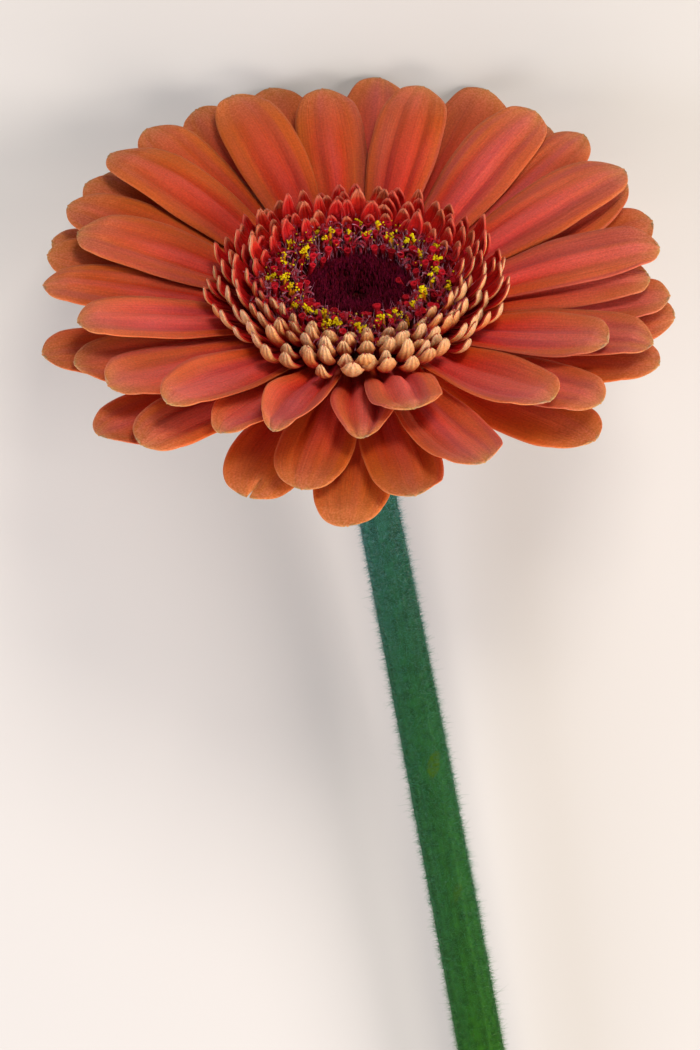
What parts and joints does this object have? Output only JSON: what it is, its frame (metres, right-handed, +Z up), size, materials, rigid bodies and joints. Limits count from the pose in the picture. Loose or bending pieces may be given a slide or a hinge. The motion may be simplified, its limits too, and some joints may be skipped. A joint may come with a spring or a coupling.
{
  "type": "cut gerbera",
  "caption": "Cut gerbera daisy lying down: a coral ray-petalled head with crowded red and cream florets, a ring of yellow pollen and a dark eye, on a long downy green stem.",
  "frame": {"origin": "centre of the bounding box, at the surface that the flower lies on", "axes": "+Z up from the surface; +Y along the stem towards the head, the flower's longest extent; +X across, to the right of a viewer above who has the head at the top"},
  "size_m": [0.1048, 0.3386, 0.0799],
  "materials": {
    "petal": "satin",
    "floret": "satin",
    "pollen": "matte",
    "eye": "matte",
    "bract": "matte",
    "disc": "matte",
    "stem": "matte"
  },
  "bodies": {
    "root": {"ray_a01": "petal", "ray_a02": "petal", "ray_a03": "petal", "ray_a04": "petal", "ray_a05": "petal", "ray_a06": "petal", "ray_a07": "petal", "ray_a08": "petal", "ray_a09": "petal", "ray_a10": "petal", "ray_a11": "petal", "ray_a12": "petal", "ray_a13": "petal", "ray_b01": "petal", "ray_b02": "petal", "ray_b03": "petal", "ray_b04": "petal", "ray_b05": "petal", "ray_b06": "petal", "ray_b07": "petal", "ray_b08": "petal", "ray_b09": "petal", "ray_b10": "petal", "ray_b11": "petal", "ray_b12": "petal", "ray_c01": "petal", "ray_c02": "petal", "ray_c03": "petal", "ray_c04": "petal", "ray_c05": "petal", "ray_c06": "petal", "ray_c07": "petal", "ray_c08": "petal", "ray_c09": "petal", "ray_c10": "petal", "ray_c11": "petal", "ray_c12": "petal", "ray_d01": "petal", "ray_d02": "petal", "ray_d03": "petal", "ray_d04": "petal", "ray_d05": "petal", "ray_d06": "petal", "ray_d07": "petal", "ray_d08": "petal", "ray_d09": "petal", "ray_d10": "petal", "ray_d11": "petal", "crown_outer": "floret", "crown_middle": "floret", "crown_inner": "floret", "anther_ring": "pollen", "eye": "eye", "disc": "disc", "bracts_inner": "bract", "bracts_outer": "bract", "stem": "stem"}
  },
  "joints": []
}
